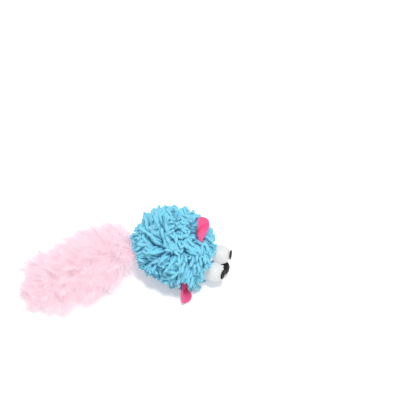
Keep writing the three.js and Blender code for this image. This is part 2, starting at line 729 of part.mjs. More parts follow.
for (const { word, at, yaw, length, heights, halfWidth, top, stations } of plumes) {
  const link = new THREE.Group();
  link.position.copy(at);
  link.rotation.z = yaw * degrees;
  mouse.add(link);
  const [startHeight, endHeight] = heights;
  const down = plume({ length, startHeight, endHeight, halfWidth, top, stations });
  addPiece(link, `plume_${word}`, down, featherPink);
  const run = Math.hypot(length, endHeight - startHeight);
  const string = word === 'base'
    ? stringLink(run, 0, tailKnotRadius + clearance)
    : stringLink(run, tailJointKnotRadius, 0);
  const stringMesh = addPiece(link, `tail_string_${word}`, string, stringPink);
  stringMesh.rotation.y = Math.atan2(startHeight - endHeight, length);
  if (word === 'base') {
    // Thread wound round the feathers' butts where the plume starts
    const innerRadius = tailStringRadius + clearance;
    const first = tailKnotRadius + 2 * clearance;
    const whip = [new THREE.Vector2(innerRadius, first)];
    const pitch = bindingLength / bindingTurns;
    const dipRadius = THREE.MathUtils.lerp(bindingRadius, innerRadius, bindingDipShare);
    for (let k = 0; k < bindingTurns; k += 1) {
      whip.push(new THREE.Vector2(bindingRadius, first + pitch * (k + bindingRiseShare)));
      whip.push(new THREE.Vector2(bindingRadius, first + pitch * (k + bindingFallShare)));
      if (k < bindingTurns - 1) whip.push(new THREE.Vector2(dipRadius, first + pitch * (k + 1)));
    }
    whip.push(new THREE.Vector2(innerRadius, first + bindingLength), whip[0].clone());
    const wound = new THREE.LatheGeometry(whip, knotFacets.around).rotateZ(-Math.PI / 2);
    addPiece(link, 'tail_binding', closedSolid(wound), bindingPink).rotation.y = stringMesh.rotation.y;
  }
  if (word === 'tip') {
    const endShape = new THREE.SphereGeometry(tailKnotRadius, smallKnotFacets.around, smallKnotFacets.down);
    const endKnot = addPiece(link, 'tail_end_knot', closedSolid(endShape), stringPink);
    const past = run - tailJointKnotRadius + tailKnotRadius;
    endKnot.position.set(past, 0, 0).applyAxisAngle(new THREE.Vector3(0, 1, 0), stringMesh.rotation.y);
  }
}

export default mouse;
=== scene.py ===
import json
import math

import bpy
import numpy as np
from mathutils import Matrix, Vector
from mathutils.kdtree import KDTree


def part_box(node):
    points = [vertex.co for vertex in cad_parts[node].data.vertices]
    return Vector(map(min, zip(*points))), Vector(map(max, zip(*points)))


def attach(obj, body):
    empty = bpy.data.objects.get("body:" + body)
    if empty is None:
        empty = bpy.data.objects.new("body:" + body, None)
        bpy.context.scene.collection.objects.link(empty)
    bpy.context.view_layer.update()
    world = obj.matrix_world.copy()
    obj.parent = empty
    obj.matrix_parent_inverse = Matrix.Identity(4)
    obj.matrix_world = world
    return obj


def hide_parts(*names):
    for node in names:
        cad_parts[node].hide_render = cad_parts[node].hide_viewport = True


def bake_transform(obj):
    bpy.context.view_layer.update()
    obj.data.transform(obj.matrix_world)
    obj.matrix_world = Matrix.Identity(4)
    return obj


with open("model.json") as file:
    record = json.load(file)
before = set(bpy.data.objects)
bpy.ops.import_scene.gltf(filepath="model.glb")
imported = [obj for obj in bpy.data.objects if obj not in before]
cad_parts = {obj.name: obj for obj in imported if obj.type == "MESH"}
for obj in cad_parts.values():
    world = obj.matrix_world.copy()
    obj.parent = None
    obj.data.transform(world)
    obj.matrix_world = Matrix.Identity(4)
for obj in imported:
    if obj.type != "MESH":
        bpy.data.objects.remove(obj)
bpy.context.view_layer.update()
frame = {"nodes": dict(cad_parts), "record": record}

# Camera. It looks down at the toy from the front of its right side, through a long lens, so that
# the floor behind it is a plain white sheet. The aim is worked out from where the body's middle
# falls in the picture.
mm = 0.001
frame_pixels = 400
pixel_size = 0.756 * mm
body_pixel = (173, 247)
body_centre = Vector((0, 0, 28 * mm))
camera_azimuth = math.radians(12.8)
camera_elevation = math.radians(50)
lens_mm = 100
sensor_mm = 36
nearest_seen = 10 * mm
camera_right = Vector((math.cos(camera_azimuth), math.sin(camera_azimuth), 0))
camera_back = Vector((
    math.sin(camera_azimuth) * math.cos(camera_elevation),
    -math.cos(camera_azimuth) * math.cos(camera_elevation),
    math.sin(camera_elevation)))
camera_up = camera_back.cross(camera_right)
aim = (body_centre
       + camera_right * ((frame_pixels / 2 - body_pixel[0]) * pixel_size)
       + camera_up * ((body_pixel[1] - frame_pixels / 2) * pixel_size))
camera_distance = frame_pixels * pixel_size * lens_mm / sensor_mm
camera_data = bpy.data.cameras.new("camera")
camera_data.lens = lens_mm
camera_data.sensor_width = sensor_mm
camera_data.clip_start = nearest_seen
camera = bpy.data.objects.new("camera", camera_data)
bpy.context.collection.objects.link(camera)
camera.location = aim + camera_back * camera_distance
camera.rotation_euler = (-camera_back).to_track_quat("-Z", "Y").to_euler()
bpy.context.scene.camera = camera
bpy.context.scene.view_settings.view_transform = "Standard"

# The floor: a wide white sheet. Camera rays see it brightened to paper white, and it keeps the
# toy's shadow. Its material is built from nodes, as all of them are.
floor_size = 6000 * mm
sheet_white = (0.93, 0.93, 0.93)
paper_white = (1.0, 1.0, 1.0)
sheet_glow = 0.24


class Wire:
    """One socket of a node. Sums and products of wires and numbers add the Math nodes that work
    them out."""

    def __init__(self, tree, socket):
        self.tree = tree
        self.socket = socket

    def node(self, kind, inputs=None, output=0, **settings):
        made = self.tree.nodes.new(kind)
        for name, value in settings.items():
            setattr(made, name, value)
        for name, value in (inputs or {}).items():
            if isinstance(value, Wire):
                self.tree.links.new(value.socket, made.inputs[name])
            elif made.inputs[name].type == "RGBA":
                made.inputs[name].default_value = (*value, 1)
            else:
                made.inputs[name].default_value = value
        return Wire(self.tree, made.outputs[output] if made.outputs else None)

    def _maths(self, operation, first, second):
        return self.node("ShaderNodeMath", {0: first, 1: second}, operation=operation)

    def __add__(self, other):
        return self._maths("ADD", self, other)

    def __radd__(self, other):
        return self._maths("ADD", other, self)

    def __mul__(self, other):
        return self._maths("MULTIPLY", self, other)

    def __rmul__(self, other):
        return self._maths("MULTIPLY", other, self)


def new_material(name):
    """An empty material, and a Wire to start its nodes from."""
    material = bpy.data.materials.new(name)
    material.use_nodes = True
    tree = material.node_tree
    tree.nodes.clear()
    return material, Wire(tree, None)


bpy.ops.mesh.primitive_plane_add(size=floor_size, location=(0, 0, 0))
floor = bpy.context.object
floor.name = "floor"
white, wire = new_material("white_sheet")
lit = wire.node("ShaderNodeBsdfDiffuse", {"Color": sheet_white})
bright = wire.node("ShaderNodeEmission", {"Color": paper_white, "Strength": sheet_glow})
seen = wire.node("ShaderNodeAddShader", {0: lit, 1: bright})
ray = wire.node("ShaderNodeLightPath", output="Is Camera Ray")
sheet = wire.node("ShaderNodeMixShader", {0: ray, 1: lit, 2: seen})
wire.node("ShaderNodeOutputMaterial", {"Surface": sheet})
floor.data.materials.append(white)

# Light: an even pale room that camera rays see as white paper, and one soft lamp high above the
# toy, a little to its right and towards its nose
room_tint = (0.985, 0.955, 1.0)
room_strength = 0.66
lamp_size = 220 * mm
lamp_watts = 9.0
lamp_place = Vector((160, -200, 1050)) * mm
lamp_aim = Vector((-30, -20, 20)) * mm
world = bpy.data.worlds.new("room")
bpy.context.scene.world = world
world.use_nodes = True
world.node_tree.nodes.clear()
room = Wire(world.node_tree, None)
ray = room.node("ShaderNodeLightPath", output="Is Camera Ray")
ambient = room.node("ShaderNodeBackground", {"Color": room_tint, "Strength": room_strength})
paper = room.node("ShaderNodeBackground", {"Color": paper_white, "Strength": 1.0})
sky = room.node("ShaderNodeMixShader", {0: ray, 1: ambient, 2: paper})
room.node("ShaderNodeOutputWorld", {"Surface": sky})
lamp_data = bpy.data.lights.new("soft_lamp", "AREA")
lamp_data.shape = "DISK"
lamp_data.size = lamp_size
lamp_data.energy = lamp_watts
lamp = bpy.data.objects.new("soft_lamp", lamp_data)
bpy.context.collection.objects.link(lamp)
lamp.location = lamp_place
lamp.rotation_euler = (lamp_aim - lamp_place).to_track_quat("-Z", "Y").to_euler()

# Eyes: two smooth balls of white foam with a fine grain and a dull shine, glued to the face side
# by side. They also glow all over in their own white, a painted light that flattens their shading.
eye_words = ("left", "right")
eye_radius = 7.25 * mm
foam_painted_glow = 1.2


def noise(wire, per_metre, detail, rough):
    """Noise over the piece's own place, in cycles per metre."""
    place = wire.node("ShaderNodeTexCoord", output="Object")
    return wire.node("ShaderNodeTexNoise",
                     {"Vector": place, "Scale": per_metre, "Detail": detail, "Roughness": rough})


def mixed(wire, share, first, second):
    """A colour between two colours, by a share from 0 to 1. Several sockets of a Mix node have
    one name, so they go by number: 6 and 7 are its colours, and output 2 is the mixed colour."""
    return wire.node("ShaderNodeMix", {0: share, 6: first, 7: second}, output=2, data_type="RGBA")


def surface(material, wire, colour, roughness, bump, bump_depth, constants=None):
    """Finishes a material: its colour, roughness and bump may vary, the constants don't."""
    normal = wire.node("ShaderNodeBump", {"Strength": 1.0, "Distance": bump_depth, "Height": bump})
    shader = wire.node("ShaderNodeBsdfPrincipled", {"Base Color": colour, "Roughness": roughness,
                                                    "Normal": normal, **(constants or {})})
    wire.node("ShaderNodeOutputMaterial", {"Surface": shader})
    return material


def linear(red, green, blue):
    """A colour given as it looks on a screen, from 0 to 255, in linear values."""
    shares = [channel / 255 for channel in (red, green, blue)]
    return tuple(s / 12.92 if s <= 0.04045 else ((s + 0.055) / 1.055) ** 2.4 for s in shares)


def node_middle(node):
    """The middle of a solid's box."""
    low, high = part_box(node)
    return (low + high) / 2


def start_piece():
    """Nothing stays selected from the piece before."""
    bpy.ops.object.select_all(action="DESELECT")


def finish_piece(piece, name, body, material, node):
    """Applies a piece's place, names it, gives it its material, hides the solid it stands for, and
    hangs it on the body it rides on.
    """
    start_piece()
    piece.select_set(True)
    bpy.context.view_layer.objects.active = piece
    bpy.ops.object.transform_apply(location=True, rotation=True, scale=True)
    piece.name = piece.data.name = name
    piece.data.materials.clear()
    piece.data.materials.append(material)
    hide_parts(node)
    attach(piece, body)


foam, wire = new_material("white_foam")
grain = noise(wire, per_metre=1500, detail=3, rough=0.6)
stain = noise(wire, per_metre=90, detail=2, rough=0.5)
foam_white = mixed(wire, stain, linear(153, 154, 154), linear(159, 160, 160))
# The emission is painted light: the balls glow in their own white, which evens out their shading.
surface(foam, wire, foam_white, roughness=0.45 + 0.12 * grain, bump=grain,
        bump_depth=0.02 * mm, constants={
            "Specular IOR Level": 0.35, "Emission Color": foam_white,
            "Emission Strength": foam_painted_glow})
eye_centres = [node_middle(f"eye_ball_{word}") for word in eye_words]
for word, centre in zip(eye_words, eye_centres):
    start_piece()
    bpy.ops.mesh.primitive_ico_sphere_add(subdivisions=5, radius=eye_radius, location=centre)
    ball = bpy.context.object
    bpy.ops.object.shade_smooth()
    finish_piece(ball, f"eyeball_{word}", "body", foam, f"eye_ball_{word}")

# Pupils and nose: moulded black plastic, glossy and a little scuffed. The pupils are flat oval
# discs glued to the balls, and the nose is a shallow bead glued between them. Each is its solid,
# made wider across the face and taller or lower by a share, and smoothed. The face looks forward,
# its side points to its own left.
face_forward = Vector((0.9327, -0.2326, 0.2756))
face_side = Vector((0.1241, 0.9246, 0.3601))
face_up = face_forward.cross(face_side)
disc_flatness = 0.5
merge_gap = 0.01 * mm
face_pieces = (
    # solid, piece, slot, share wider, share taller, turn about its ball in degrees
    ("pupil_left", "eye_disc_left", "pupil_black", 0.25, -0.25, -10),
    ("pupil_right", "eye_disc_right", "pupil_black", 0.25, -0.25, 7),
    ("nose", "nose_bead", "nose_black", 0.06, 0.25, None),
)
gloss, wire = new_material("glossy_black")
scuff = noise(wire, per_metre=400, detail=3, rough=0.6)
black = mixed(wire, scuff, linear(10, 10, 12), linear(22, 22, 25))
surface(gloss, wire, black, roughness=0.3 + 0.2 * scuff, bump=scuff, bump_depth=0.02 * mm,
        constants={"Specular IOR Level": 0.2})
for node, name, slot, wider, taller, turn in face_pieces:
    start_piece()
    source = frame["nodes"][node]
    piece = source.copy()
    piece.data = source.data.copy()
    piece.parent = None
    piece.matrix_world = Matrix.Identity(4)
    bpy.context.collection.objects.link(piece)
    piece.hide_render = False
    for key in list(piece.keys()):
        del piece[key]
    piece.select_set(True)
    bpy.context.view_layer.objects.active = piece
    bpy.ops.object.mode_set(mode="EDIT")
    bpy.ops.mesh.select_all(action="SELECT")
    bpy.ops.mesh.remove_doubles(threshold=merge_gap)
    bpy.ops.object.mode_set(mode="OBJECT")
    vertices = piece.data.vertices
    middle = sum((v.co for v in vertices), Vector()) / len(vertices)
    for vertex in vertices:
        offset = vertex.co - middle
        vertex.co += face_side * (offset.dot(face_side) * wider)
        vertex.co += face_up * (offset.dot(face_up) * taller)
    if turn is not None:
        # A disc is pressed halfway flat, at its crown's height over the ball, and then turned
        ball_centre = min(eye_centres, key=lambda centre: (centre - middle).length)
        outward = (middle - ball_centre).normalized()
        crown = max((v.co - ball_centre).dot(outward) for v in vertices)
        axis = outward.cross(camera_back).normalized()
        turned = Matrix.Rotation(math.radians(turn), 3, axis)
        for vertex in vertices:
            offset = vertex.co - ball_centre
            offset += outward * ((crown - offset.dot(outward)) * disc_flatness)
            vertex.co = ball_centre + turned @ offset
    smooth = piece.modifiers.new("smooth", "SUBSURF")
    smooth.levels = smooth.render_levels = 2
    bpy.ops.object.modifier_apply(modifier="smooth")
    bpy.ops.object.shade_smooth()
    finish_piece(piece, name, "body", gloss, node)

# Ears: petals cut from thin felt, rolled along their length and sewn at the root. The rims curl
# in more tightly than the middle, and one rim of each ear is notched and has a soft crease,
# which is painted a deeper pink as shade.
ear_length = 18.5 * mm
ear_tab = 0.6 * mm
ear_width = 12.5 * mm
ear_root_width = 1.5 * mm
ear_thickness = 1.1 * mm
ear_rounding = 0.3 * mm
ear_corner = math.radians(50)
ear_place_shares = (0, 0.14, 0.34, 0.56, 0.76, 0.88, 0.95, 0.985, 1)
ear_half_shares = (0.02, 0.13, 0.29, 0.45, 0.49, 0.4, 0.26, 0.12, -0.04)
ear_notch_share = 0.26
notch_place_share = 0.48
notch_spread_share = 0.11
ear_roll = 4.6 * mm
roll_growth_share = 0.35
rim_curl_share = 0.12
ear_crease = 0.8 * mm
crease_place_share = 0.58
crease_slant_share = 0.14
crease_spread_share = 0.09
crease_middle_share = 0.6
tip_curl = 0.8 * mm
tip_curl_share = 0.2
crease_shade_share = 0.9
ear_rows = 26
ear_columns = 18
ear_axes = {
    # from the root along the petal, and across it
    "left": (Vector((-0.1269, 0.6530, 0.7466)), Vector((-0.6413, -0.6283, 0.4405))),
    "right": (Vector((0.2316, -0.7302, -0.6428)), Vector((0.5119, 0.6534, -0.5577))),
}
felt, wire = new_material("pink_felt")
fibre = noise(wire, per_metre=1600, detail=4, rough=0.7)
cloudy = noise(wire, per_metre=120, detail=2, rough=0.5)
# The deeper pink along each crease is painted shade, read from a share stored on the ear.
crease_and_shade = wire.node("ShaderNodeAttribute", output="Fac", attribute_name="crease_and_shade")
pink = mixed(wire, cloudy, linear(220, 79, 128), linear(238, 103, 151))
felt_pink_and_crease_shade = mixed(wire, crease_and_shade * crease_shade_share, pink, linear(204, 20, 62))
surface(felt, wire, felt_pink_and_crease_shade, roughness=0.95, bump=fibre, bump_depth=0.25 * mm, constants={
    "Sheen Weight": 0.2, "Sheen Roughness": 0.4, "Specular IOR Level": 0.2})


def ear_half(share):
    """Half the flat petal's width, at a share of its length from the root."""
    half_share = float(np.interp(share, ear_place_shares, ear_half_shares))
    return ear_root_width / 2 + (ear_width - ear_root_width) * half_share


def swell(share, place, spread):
    """A smooth swell from 0 to 1 and back, round a place and over a spread."""
    return math.exp(-((share - place) / spread) ** 2)


joint_at = {j["name"]: np.array(j["pos_m"]) for j in frame["record"]["behaviour"]["joints"]}
petal_length = ear_length + ear_tab
ears = []
for word, (along, across) in ear_axes.items():
    start_piece()
    bpy.ops.mesh.primitive_grid_add(x_subdivisions=ear_rows, y_subdivisions=ear_columns, size=1)
    petal = bpy.context.object
    opening = along.cross(across)
    root = Vector(joint_at[f"ear_{word}_flop"])
    crease_and_shade_values = petal.data.attributes.new("crease_and_shade", "FLOAT", "POINT").data
    for vertex in petal.data.vertices:
        # The grid's place: its share of the length, and of the width from rim to rim, -1 to 1
        share = vertex.co.x + 0.5
        hand = vertex.co.y * 2
        roll = ear_roll * (1 + roll_growth_share * share)
        # The crease's depth, which also sets how much painted shade its felt gets
        crease_and_shade = (swell(share, crease_place_share - crease_slant_share * hand, crease_spread_share)
                * (crease_middle_share + (1 - crease_middle_share) * hand))
        crease_and_shade_values[vertex.index].value = crease_and_shade
        notch = ear_notch_share * swell(share, notch_place_share, notch_spread_share) * (hand > 0)
        turn = hand * ear_half(share) * (1 - notch) / roll * (1 + rim_curl_share * hand * hand)
        x = share * petal_length - ear_tab
        y = roll * math.sin(turn)
        z = roll * (1 - math.cos(turn)) - ear_crease * crease_and_shade
        z += tip_curl * max(0, 1 - (1 - share) / tip_curl_share)
        vertex.co = root + along * x + across * y + opening * z
    wall = petal.modifiers.new("wall", "SOLIDIFY")
    wall.thickness = ear_thickness
    wall.offset = 0
    bpy.ops.object.modifier_apply(modifier="wall")
    rounded = petal.modifiers.new("rounded", "BEVEL")
    rounded.width = ear_rounding
    rounded.segments = 2
    rounded.angle_limit = ear_corner
    bpy.ops.object.modifier_apply(modifier="rounded")
    bpy.ops.object.shade_smooth()
    finish_piece(petal, f"felt_ear_{word}", f"ear_{word}", felt, f"ear_{word}")
    ears.append((petal, root, across))

# Body cover. The real one is two panels of microfibre cloth with a chenille noodle pile, sewn
# together and stuffed. A noodle is a soft lumpy roll, about 2.5 mm thick, that lies over its
# neighbours. Each panel is one piece: its cloth, and the noodles that are tufted into it.
cover_radius = 23.5 * mm
cover_wall = 1.6 * mm
seam_gap = 0.15 * mm
cloth_segments = 48
cloth_rings = 24
snout_rise = 4 * mm
snout_spread = 0.5
snout_dip = math.radians(-16.5)
snout_way = Vector((math.cos(snout_dip), 0, math.sin(snout_dip)))

# The pile's blue has painted shade, darker towards the cloth between the noodles, and is pale at
# their tops, with a few lilac ones
pile_colour = linear(98, 190, 216)
pile_painted_shade = linear(52, 142, 184)
pile_pale = linear(128, 206, 224)
pile_lilac = linear(142, 190, 226)
painted_shade_radius = 24 * mm
tops_radius = 29 * mm


def ranged(wire, value, low, high, top=1.0):
    """A value from low to high, stretched to run from 0 to top."""
    return wire.node("ShaderNodeMapRange",
                     {"Value": value, "From Min": low, "From Max": high, "To Max": top})


pile, wire = new_material("chenille_pile")
nap = noise(wire, per_metre=900, detail=4, rough=0.65)
patch = noise(wire, per_metre=60, detail=2, rough=0.5)
lilac_spots = noise(wire, per_metre=230, detail=1, rough=0.5)
place = wire.node("ShaderNodeTexCoord", output="Object")
height = wire.node("ShaderNodeVectorMath", {0: place, 1: tuple(body_centre)}, output="Value",
                   operation="DISTANCE")
blue = mixed(wire, patch, pile_colour, pile_pale)
lilac_share = ranged(wire, lilac_spots, low=0.55, high=0.75, top=0.7)
tops_share = ranged(wire, height, low=painted_shade_radius, high=tops_radius)
pale_share = ranged(wire, nap, low=0.35, high=0.65, top=0.6)
tint = mixed(wire, lilac_share, blue, pile_lilac)
# Painted shade: the blue darkens from the noodles' tops down to the cloth
shade = mixed(wire, tops_share, pile_painted_shade, tint)
toned = mixed(wire, pale_share, shade, pile_pale)
# The pile also glows faintly in its own colour, painted light that lifts its shade
surface(pile, wire, toned, roughness=1.0, bump=nap, bump_depth=0.9 * mm, constants={
    "Sheen Weight": 0.2, "Sheen Roughness": 0.5, "Specular IOR Level": 0.15,
    "Emission Color": toned, "Emission Strength": 0.1})

# One noodle, modelled straight along +Z from 0 to 1 with its radius as 1, then copied and bent
noodle_rings = 8
noodle_sides = 6
end_rise_share = 0.02
half_way = 0.5
start_piece()
bpy.ops.mesh.primitive_cylinder_add(vertices=noodle_sides, radius=1, depth=1,
                                    location=(0, 0, half_way))
bpy.ops.object.transform_apply(location=True, rotation=False, scale=False)
bpy.ops.object.mode_set(mode="EDIT")
bpy.ops.mesh.select_mode(type="EDGE")
bpy.ops.mesh.select_all(action="DESELECT")
bpy.ops.object.mode_set(mode="OBJECT")
noodle = bpy.context.object
for edge in noodle.data.edges:
    low, high = (noodle.data.vertices[v].co.z for v in edge.vertices)
    runs_along = abs(low - high) > half_way
    edge.select = runs_along
bpy.ops.object.mode_set(mode="EDIT")
bpy.ops.mesh.subdivide(number_cuts=noodle_rings - 1)
bpy.ops.object.mode_set(mode="OBJECT")
noodle_points = np.array([v.co for v in noodle.data.vertices])
noodle_faces = [tuple(face.vertices) for face in noodle.data.polygons]
noodle_quads = np.array([face for face in noodle_faces if len(face) == 4])
noodle_ends = [face for face in noodle_faces if len(face) != 4]
# Each end is closed by a fan round a middle point, which rounds the tip
noodle_fans = []
for face in noodle_ends:
    height = noodle_points[face[0], 2]
    noodle_points = np.vstack([noodle_points, [0, 0, height * (1 + end_rise_share)]])
    hub = len(noodle_points) - 1
    noodle_fans += [(face[k], face[(k + 1) % len(face)], hub) for k in range(len(face))]
noodle_fans = np.array(noodle_fans)
bpy.data.objects.remove(noodle, do_unlink=True)

# The pile: where each noodle is tufted, which way it leans, and how it bends over. Neighbours
# lean alike, in tufts, over a slow flow of a few waves.
noodle_count = 1240
noodle_length = 11.9 * mm
noodle_radius = 1.2 * mm
noodle_length_shares = (0.7, 1.2)
noodle_radius_shares = (0.88, 1.12)
noodle_tilts = (0.55, 1.3)
noodle_knee_share = 0.45
ring_crowding = 1.5
lump_shares = (0.15, 0.13)
lump_waves = (19, 37)
lump_phases = (0, 6.28)
wiggle = 0.45 * mm
wiggle_waves = 9
tip_start_share = 0.88
tip_share = 0.13
root_depth = 0.4 * mm
root_stray = 0.02
tuft_count = 90
tuft_pull = 7
tuft_stray = 0.08
lean_stray = 0.5
pile_splay = 0.8
pile_seed = 11
slow_waves = np.array(((0, 3.1, 2.3), (2.9, 0, 2.7), (3.3, -2.1, 0)))
slow_starts = (0, 1, 0)
quick_waves = np.array(((5, 0, 7), (6, 0, -5), (0, 6, 0)))
quick_starts = (0, 2, 3)
quick_shares = (0.5, 0.5, 0.4)
flow_drift = (0, 0, -0.5)
tiny = 1e-9


def fabric_reach(ways):
    """How far the stuffed cloth reaches from the body's centre, along unit vectors."""
    angle = np.arccos(np.clip(ways @ np.array(snout_way), -1, 1))
    return cover_radius + snout_rise * np.exp(-((angle / snout_spread) ** 2))


def unit(vectors):
    """Vectors brought to a length of 1."""
    return vectors / np.maximum(np.linalg.norm(vectors, axis=-1, keepdims=True), tiny)


def spread_ways(count):
    """Unit vectors spread evenly over a sphere, along a spiral of golden turns."""
    k = np.arange(count) + 0.5
    lift = 1 - 2 * k / count
    turn = k * math.pi * (3 - math.sqrt(5))
    level = np.sqrt(1 - lift ** 2)
    return np.stack([level * np.cos(turn), level * np.sin(turn), lift], axis=1)


def leaning(ways, rng):
    """The way that the pile leans at each place: neighbours lean alike, in tufts."""
    flow = np.sin(ways @ slow_waves.T + slow_starts) + flow_drift
    flow += quick_shares * np.sin(ways @ quick_waves.T + quick_starts)
    flow += rng.normal(0, lean_stray, flow.shape)
    tufts = unit(spread_ways(tuft_count) + rng.normal(0, tuft_stray, (tuft_count, 3)))
    nearest = tufts[np.argmax(ways @ tufts.T, axis=1)]
    flow += (nearest - ways) * tuft_pull
    flow -= ways * np.sum(flow * ways, axis=1, keepdims=True)
    return unit(flow)


def settle(points, splay=0.0, soft=3 * mm, least=0.05 * mm):
    """The floor presses up what would hang below it, and splays it outwards."""
    low = points[:, 2] < soft
    pressed = least + (soft - least) * np.exp((points[low, 2] - soft) / soft)
    level = points[low, :2]
    outward = level / np.maximum(np.linalg.norm(level, axis=1, keepdims=True), soft)
    points[low, :2] = level + splay * (pressed - points[low, 2])[:, None] * outward
    points[low, 2] = pressed
    return points


def bend_noodles(roots, ways, sides, lengths, radii, rng):
    """Copies the noodle to every root and bends each copy along its own curve."""
    count = len(roots)
    # Rings stand closer together towards the tip
    along = 1 - np.abs(1 - noodle_points[:, 2]) ** ring_crowding
    tilt = rng.uniform(*noodle_tilts, count)
    knee = roots + ways * (lengths * noodle_knee_share)[:, None]
    over = ways * np.cos(tilt)[:, None] + sides * np.sin(tilt)[:, None]
    last = roots + over * lengths[:, None]
    t = along[None, :, None]
    curve = (1 - t) ** 2 * roots[:, None] + 2 * t * (1 - t) * knee[:, None] + t ** 2 * last[:, None]
    heading = unit(2 * (1 - t) * (knee - roots)[:, None] + 2 * t * (last - knee)[:, None])
    cross = np.cross(ways, sides)[:, None]
    other = np.cross(heading, cross)
    # Lumps and a wiggle along the roll, and a rounded tip
    phase = rng.uniform(*lump_phases, (count, 1))
    lumps = 1 + sum(lump_shares[k] * np.sin(along * lump_waves[k] + (k + 1) * phase) for k in (0, 1))
    tip = np.sqrt(1 - np.clip((along - tip_start_share) / tip_share, 0, 1) ** 2)
    girth = (radii[:, None] * lumps * tip)[:, :, None]
    sway = wiggle * along * np.sin(along * wiggle_waves + 3 * phase)
    curve = curve + sway[:, :, None] * cross
    return curve + girth * (noodle_points[:, :1] * cross + noodle_points[:, 1:2] * other)


rng = np.random.default_rng(pile_seed)
tuft_ways = unit(spread_ways(noodle_count) + rng.normal(0, root_stray, (noodle_count, 3)))
tuft_roots = np.array(body_centre) + tuft_ways * (fabric_reach(tuft_ways) - root_depth)[:, None]
tuft_sides = leaning(tuft_ways, rng)
tuft_lengths = noodle_length * rng.uniform(*noodle_length_shares, noodle_count)
tuft_radii = noodle_radius * rng.uniform(*noodle_radius_shares, noodle_count)

# The pile is combed longer on some sides and worn shorter on others, most of all between the tail
# and the near ear. The shares go round the body as the camera sees it, from its right over the
# top, every 30 degrees.
comb_step = 30
comb_shares = (1, 0.75, 1, 0.72, 0.93, 1.1, 0.62, 0.6, 0.4, 0.75, 1.5, 1)
tuft_rights = tuft_ways @ np.array(camera_right)
tuft_ups = tuft_ways @ np.array(camera_up)
round_angles = np.degrees(np.arctan2(tuft_ups, tuft_rights))
combed = np.interp(round_angles, np.arange(len(comb_shares)) * comb_step, comb_shares, period=360)
tuft_lengths *= 1 + (combed - 1) * np.hypot(tuft_rights, tuft_ups)

# Noodles keep off the eyes, the nose and the tail's root, so they stay out of a ball round each.
# Two more balls stand in front of the near eye and the near ear, which the pile doesn't hide.
eye_clearance = 3.5 * mm
near_eye_clearance = 1.6 * mm
near_ear_clearance = 5.2 * mm
nose_clearance = 5.2 * mm
tail_clearance = 5 * mm
in_front = camera_back * 5 * mm
along_near_ear = ear_axes["right"][0] * 6 * mm
beside_near_ear = camera_right * -1 * mm
behind_tail_root = Vector((-4, -2, 0)) * mm
near_eye = min(eye_centres, key=lambda centre: centre.y)
near_ear = Vector(joint_at["ear_right_flop"])
tail_root = Vector(joint_at["tail_swing"])
clear_balls = [(centre, eye_radius + eye_clearance) for centre in eye_centres]
clear_balls += [
    (near_eye + in_front, eye_radius + near_eye_clearance),
    (near_ear + along_near_ear + in_front + beside_near_ear, near_ear_clearance),
    (node_middle("nose"), nose_clearance),
    (tail_root + behind_tail_root, tail_clearance),
]

# They keep off each ear too, as it lies and as it flops a little, but not where it is sewn on
ear_clearance = 0.9 * mm
ear_sewn = 3.2 * mm
ear_swings = (-14, 0, 14)
ear_clouds = []
for petal, root, across in ears:
    free = [v.co - root for v in petal.data.vertices if (v.co - root).length > ear_sewn]
    for swing in ear_swings:
        swung = Matrix.Rotation(math.radians(swing), 3, across)
        cloud = KDTree(len(free))
        for k, offset in enumerate(free):
            cloud.insert(root + swung @ offset, k)
        cloud.balance()
        ear_clouds.append((np.array(root), cloud))

# Those that would touch any of these are worn shorter, step by step, and the last few are pulled
wear_shares = (1, 0.7, 0.7, 0.7)
kept = np.ones(noodle_count, bool)
for wear in wear_shares:
    tuft_lengths[~kept] *= wear
    tuft_points = bend_noodles(tuft_roots, tuft_ways, tuft_sides, tuft_lengths, tuft_radii,
                               np.random.default_rng(pile_seed))
    kept = np.ones(noodle_count, bool)
    for centre, radius in clear_balls:
        kept &= np.linalg.norm(tuft_points - np.array(centre), axis=2).min(axis=1) > radius
    for root, cloud in ear_clouds:
        distance = np.linalg.norm(tuft_points.mean(axis=1) - root, axis=1)
        close = distance < ear_length + noodle_length / 2
        for k in np.nonzero(close & kept)[0]:
            kept[k] = min(cloud.find(point)[2] for point in tuft_points[k]) > ear_clearance


def mesh_piece(name, points, quads, triangles):
    """A mesh object from arrays of points, quads and triangles."""
    mesh = bpy.data.meshes.new(name)
    corners = np.concatenate([quads.reshape(-1), triangles.reshape(-1)]).astype(np.int32)
    sizes = np.concatenate([np.full(len(quads), 4), np.full(len(triangles), 3)]).astype(np.int32)
    starts = np.concatenate([[0], np.cumsum(sizes)[:-1]]).astype(np.int32)
    mesh.vertices.add(len(points))
    mesh.vertices.foreach_set("co", points.astype(np.float32).reshape(-1))
    mesh.loops.add(len(corners))
    mesh.loops.foreach_set("vertex_index", corners)
    mesh.polygons.add(len(sizes))
    mesh.polygons.foreach_set("loop_start", starts)
    mesh.polygons.foreach_set("loop_total", sizes)
    mesh.update(calc_edges=True)
    mesh.shade_smooth()
    piece = bpy.data.objects.new(name, mesh)
    bpy.context.collection.objects.link(piece)
    return piece


